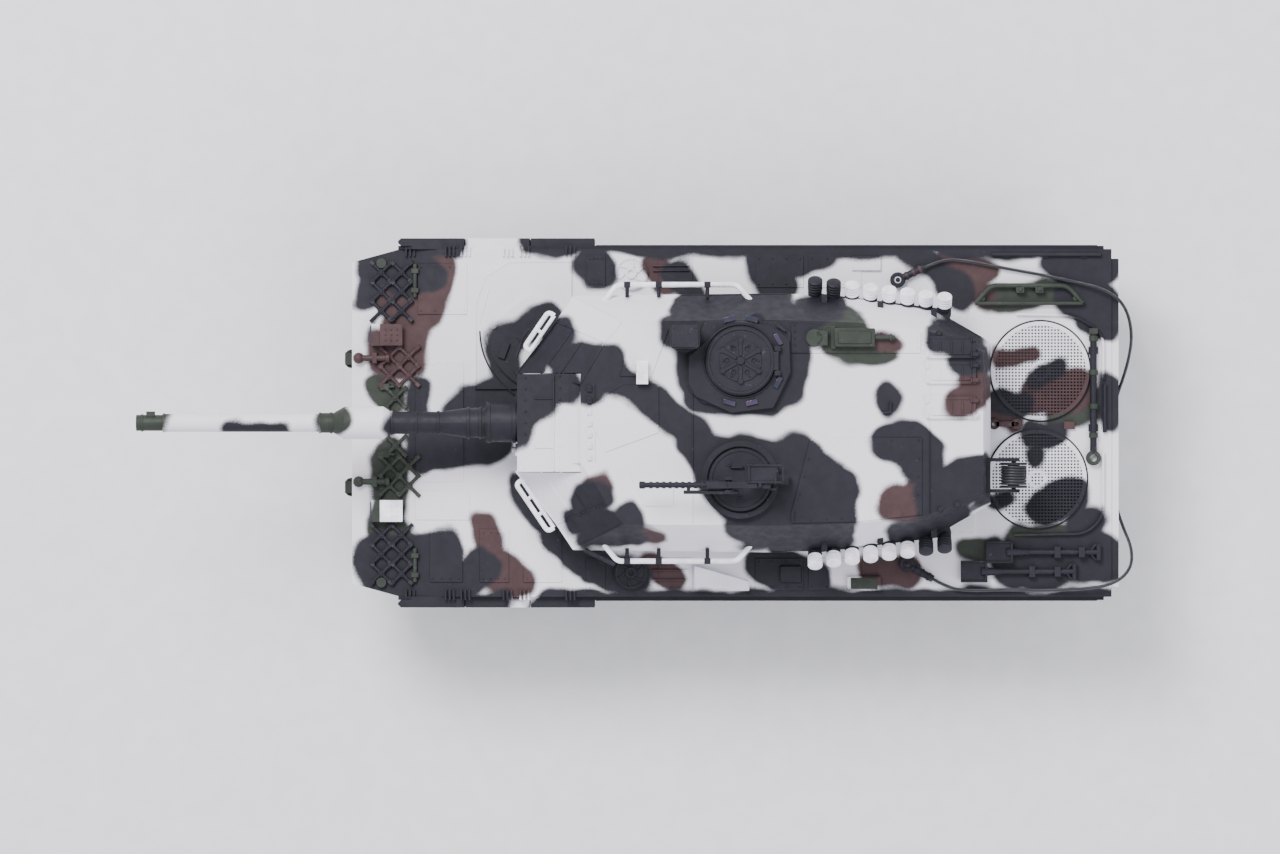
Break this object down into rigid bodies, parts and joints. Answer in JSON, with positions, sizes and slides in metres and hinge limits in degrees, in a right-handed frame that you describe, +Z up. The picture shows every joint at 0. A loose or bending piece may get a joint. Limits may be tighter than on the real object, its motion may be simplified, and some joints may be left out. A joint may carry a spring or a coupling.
{
  "type": "radio controlled tank",
  "caption": "Radio-controlled battle tank with a turning turret, elevating gun, spinning road wheels, opening hatches and a stowed tow cable, in winter camouflage.",
  "frame": {"origin": "middle of the footprint of the whole model, gun included, at the level that the tracks stand on", "axes": "+X forward along the gun, +Y to the tank's left, +Z up"},
  "size_m": [0.4113, 0.153, 0.1271],
  "materials": {
    "camo": "airbrushed winter camouflage, matt",
    "dark_camo": "airbrushed dark blue-black, matt",
    "rubber": "matt moulded rubber",
    "tyre": "matt rubber tyre",
    "steel": "worn steel",
    "brass": "bright brass gear",
    "motor": "zinc plated can",
    "battery_wrap": "shrink wrap",
    "board": "solder mask",
    "black_plastic": "moulded black",
    "olive": "airbrushed dark green, matt",
    "cable_steel": "dark twisted wire"
  },
  "bodies": {
    "hull": {"lower_hull": "camo", "battery_door": "black_plastic", "battery_pack": "battery_wrap", "control_board": "board", "upper_hull": "camo", "fan_grilles": "camo", "side_skirts": "camo", "skirt_blocks": "camo", "swing_arms": "dark_camo", "drive_units": "motor", "traverse_motor": "motor", "deck_tools": "dark_camo", "fuel_caps": "camo", "tow_hooks": "olive", "headlamps": "camo", "rear_plate": "camo", "tow_cable": "cable_steel", "cable_eyes": "olive", "cable_clips": "dark_camo", "track_left": "rubber", "track_right": "rubber"},
    "turret": {"turret_shell": "camo", "cheek_armour": "camo", "turret_ring": "black_plastic", "hatch_rings": "camo", "roof_fittings": "camo", "turret_rails": "camo", "smoke_launchers": "dark_camo", "reel_bracket": "camo"},
    "gun": {"mantlet": "camo", "gun_barrel": "camo"},
    "commander_hatch": {"commander_hatch": "dark_camo"},
    "loader_hatch": {"loader_hatch": "dark_camo"},
    "driver_hatch": {"driver_hatch": "camo"},
    "panoramic_sight": {"panoramic_sight": "dark_camo"},
    "mg_mount": {"mg_mount": "dark_camo"},
    "machine_gun": {"machine_gun": "dark_camo"},
    "cable_reel": {"cable_reel": "dark_camo"},
    "power_switch": {"power_switch": "black_plastic"},
    "traverse_pinion": {"traverse_pinion": "brass"},
    "sprocket_left": {"sprocket_left": "dark_camo"},
    "motor_pinion_left": {"motor_pinion_left": "brass"},
    "idler_left": {"idler_left": "dark_camo"},
    "road_wheel_left_1": {"road_wheel_left_1": "tyre"},
    "road_wheel_left_2": {"road_wheel_left_2": "tyre"},
    "road_wheel_left_3": {"road_wheel_left_3": "tyre"},
    "road_wheel_left_4": {"road_wheel_left_4": "tyre"},
    "road_wheel_left_5": {"road_wheel_left_5": "tyre"},
    "road_wheel_left_6": {"road_wheel_left_6": "tyre"},
    "road_wheel_left_7": {"road_wheel_left_7": "tyre"},
    "sprocket_right": {"sprocket_right": "dark_camo"},
    "motor_pinion_right": {"motor_pinion_right": "brass"},
    "idler_right": {"idler_right": "dark_camo"},
    "road_wheel_right_1": {"road_wheel_right_1": "tyre"},
    "road_wheel_right_2": {"road_wheel_right_2": "tyre"},
    "road_wheel_right_3": {"road_wheel_right_3": "tyre"},
    "road_wheel_right_4": {"road_wheel_right_4": "tyre"},
    "road_wheel_right_5": {"road_wheel_right_5": "tyre"},
    "road_wheel_right_6": {"road_wheel_right_6": "tyre"},
    "road_wheel_right_7": {"road_wheel_right_7": "tyre"}
  },
  "joints": [
    {"name": "sprocket_left_spin", "type": "hinge", "parent": "hull", "child": "sprocket_left", "pos_m": [-0.1755, 0.0575, 0.036], "axis": [0, 1, 0], "continuous": true},
    {"name": "motor_pinion_left_spin", "type": "hinge", "parent": "hull", "child": "motor_pinion_left", "pos_m": [-0.15938, 0.035, 0.036], "axis": [0, 1, 0], "continuous": true},
    {"name": "idler_left_spin", "type": "hinge", "parent": "hull", "child": "idler_left", "pos_m": [0.0895, 0.0575, 0.035], "axis": [0, 1, 0], "continuous": true},
    {"name": "road_wheel_left_1_spin", "type": "hinge", "parent": "hull", "child": "road_wheel_left_1", "pos_m": [0.06, 0.0575, 0.0185], "axis": [0, 1, 0], "continuous": true},
    {"name": "road_wheel_left_2_spin", "type": "hinge", "parent": "hull", "child": "road_wheel_left_2", "pos_m": [0.0257, 0.0575, 0.0185], "axis": [0, 1, 0], "continuous": true},
    {"name": "road_wheel_left_3_spin", "type": "hinge", "parent": "hull", "child": "road_wheel_left_3", "pos_m": [-0.0086, 0.0575, 0.0185], "axis": [0, 1, 0], "continuous": true},
    {"name": "road_wheel_left_4_spin", "type": "hinge", "parent": "hull", "child": "road_wheel_left_4", "pos_m": [-0.0429, 0.0575, 0.0185], "axis": [0, 1, 0], "continuous": true},
    {"name": "road_wheel_left_5_spin", "type": "hinge", "parent": "hull", "child": "road_wheel_left_5", "pos_m": [-0.0772, 0.0575, 0.0185], "axis": [0, 1, 0], "continuous": true},
    {"name": "road_wheel_left_6_spin", "type": "hinge", "parent": "hull", "child": "road_wheel_left_6", "pos_m": [-0.1115, 0.0575, 0.0185], "axis": [0, 1, 0], "continuous": true},
    {"name": "road_wheel_left_7_spin", "type": "hinge", "parent": "hull", "child": "road_wheel_left_7", "pos_m": [-0.1458, 0.0575, 0.0185], "axis": [0, 1, 0], "continuous": true},
    {"name": "sprocket_right_spin", "type": "hinge", "parent": "hull", "child": "sprocket_right", "pos_m": [-0.1755, -0.0575, 0.036], "axis": [0, 1, 0], "continuous": true},
    {"name": "motor_pinion_right_spin", "type": "hinge", "parent": "hull", "child": "motor_pinion_right", "pos_m": [-0.15938, -0.035, 0.036], "axis": [0, 1, 0], "continuous": true},
    {"name": "idler_right_spin", "type": "hinge", "parent": "hull", "child": "idler_right", "pos_m": [0.0895, -0.0575, 0.035], "axis": [0, 1, 0], "continuous": true},
    {"name": "road_wheel_right_1_spin", "type": "hinge", "parent": "hull", "child": "road_wheel_right_1", "pos_m": [0.06, -0.0575, 0.0185], "axis": [0, 1, 0], "continuous": true},
    {"name": "road_wheel_right_2_spin", "type": "hinge", "parent": "hull", "child": "road_wheel_right_2", "pos_m": [0.0257, -0.0575, 0.0185], "axis": [0, 1, 0], "continuous": true},
    {"name": "road_wheel_right_3_spin", "type": "hinge", "parent": "hull", "child": "road_wheel_right_3", "pos_m": [-0.0086, -0.0575, 0.0185], "axis": [0, 1, 0], "continuous": true},
    {"name": "road_wheel_right_4_spin", "type": "hinge", "parent": "hull", "child": "road_wheel_right_4", "pos_m": [-0.0429, -0.0575, 0.0185], "axis": [0, 1, 0], "continuous": true},
    {"name": "road_wheel_right_5_spin", "type": "hinge", "parent": "hull", "child": "road_wheel_right_5", "pos_m": [-0.0772, -0.0575, 0.0185], "axis": [0, 1, 0], "continuous": true},
    {"name": "road_wheel_right_6_spin", "type": "hinge", "parent": "hull", "child": "road_wheel_right_6", "pos_m": [-0.1115, -0.0575, 0.0185], "axis": [0, 1, 0], "continuous": true},
    {"name": "road_wheel_right_7_spin", "type": "hinge", "parent": "hull", "child": "road_wheel_right_7", "pos_m": [-0.1458, -0.0575, 0.0185], "axis": [0, 1, 0], "continuous": true},
    {"name": "turret_traverse", "type": "hinge", "parent": "hull", "child": "turret", "pos_m": [-0.0383, 0, 0.072], "axis": [0, 0, 1], "range_deg": [-160, 160]},
    {"name": "traverse_pinion_spin", "type": "hinge", "parent": "hull", "child": "traverse_pinion", "pos_m": [-0.01442, 0, 0.066], "axis": [0, 0, 1], "range_deg": [-800, 800]},
    {"name": "gun_elevation", "type": "hinge", "parent": "turret", "child": "gun", "pos_m": [0.02, 0, 0.095], "axis": [0, -1, 0], "range_deg": [-5, 20]},
    {"name": "commander_hatch_hinge", "type": "hinge", "parent": "turret", "child": "commander_hatch", "pos_m": [-0.0604, -0.0253, 0.1146], "axis": [0, -1, 0], "range_deg": [0, 90]},
    {"name": "loader_hatch_swing", "type": "hinge", "parent": "turret", "child": "loader_hatch", "pos_m": [-0.0629, 0.0232, 0.113], "axis": [0, 0, -1], "range_deg": [0, 75]},
    {"name": "driver_hatch_swing", "type": "hinge", "parent": "hull", "child": "driver_hatch", "pos_m": [0.0565, -0.041, 0.071], "axis": [0, 0, 1], "range_deg": [0, 70]},
    {"name": "sight_traverse", "type": "hinge", "parent": "turret", "child": "panoramic_sight", "pos_m": [-0.0226, -0.0352, 0.114], "axis": [0, 0, 1], "continuous": true},
    {"name": "mg_traverse", "type": "hinge", "parent": "turret", "child": "mg_mount", "pos_m": [-0.0453, 0.0232, 0.113], "axis": [0, 0, 1], "range_deg": [-90, 90]},
    {"name": "mg_elevation", "type": "hinge", "parent": "mg_mount", "child": "machine_gun", "pos_m": [-0.0403, 0.0253, 0.124], "axis": [0, -1, 0], "range_deg": [-8, 15]},
    {"name": "cable_reel_spin", "type": "hinge", "parent": "turret", "child": "cable_reel", "pos_m": [-0.1577, 0.0215, 0.095], "axis": [0, 1, 0], "continuous": true},
    {"name": "power_switch_slide", "type": "slide", "parent": "hull", "child": "power_switch", "axis": [1, 0, 0], "range_m": [0, 0.004]}
  ],
  "couplings": [
    {"joint": "motor_pinion_left_spin", "follows": "sprocket_left_spin", "ratio": -3},
    {"joint": "idler_left_spin", "follows": "sprocket_left_spin", "ratio": 1.1008},
    {"joint": "road_wheel_left_1_spin", "follows": "sprocket_left_spin", "ratio": 0.94667},
    {"joint": "road_wheel_left_2_spin", "follows": "sprocket_left_spin", "ratio": 0.94667},
    {"joint": "road_wheel_left_3_spin", "follows": "sprocket_left_spin", "ratio": 0.94667},
    {"joint": "road_wheel_left_4_spin", "follows": "sprocket_left_spin", "ratio": 0.94667},
    {"joint": "road_wheel_left_5_spin", "follows": "sprocket_left_spin", "ratio": 0.94667},
    {"joint": "road_wheel_left_6_spin", "follows": "sprocket_left_spin", "ratio": 0.94667},
    {"joint": "road_wheel_left_7_spin", "follows": "sprocket_left_spin", "ratio": 0.94667},
    {"joint": "motor_pinion_right_spin", "follows": "sprocket_right_spin", "ratio": -3},
    {"joint": "idler_right_spin", "follows": "sprocket_right_spin", "ratio": 1.1008},
    {"joint": "road_wheel_right_1_spin", "follows": "sprocket_right_spin", "ratio": 0.94667},
    {"joint": "road_wheel_right_2_spin", "follows": "sprocket_right_spin", "ratio": 0.94667},
    {"joint": "road_wheel_right_3_spin", "follows": "sprocket_right_spin", "ratio": 0.94667},
    {"joint": "road_wheel_right_4_spin", "follows": "sprocket_right_spin", "ratio": 0.94667},
    {"joint": "road_wheel_right_5_spin", "follows": "sprocket_right_spin", "ratio": 0.94667},
    {"joint": "road_wheel_right_6_spin", "follows": "sprocket_right_spin", "ratio": 0.94667},
    {"joint": "road_wheel_right_7_spin", "follows": "sprocket_right_spin", "ratio": 0.94667},
    {"joint": "traverse_pinion_spin", "follows": "turret_traverse", "ratio": 5}
  ]
}
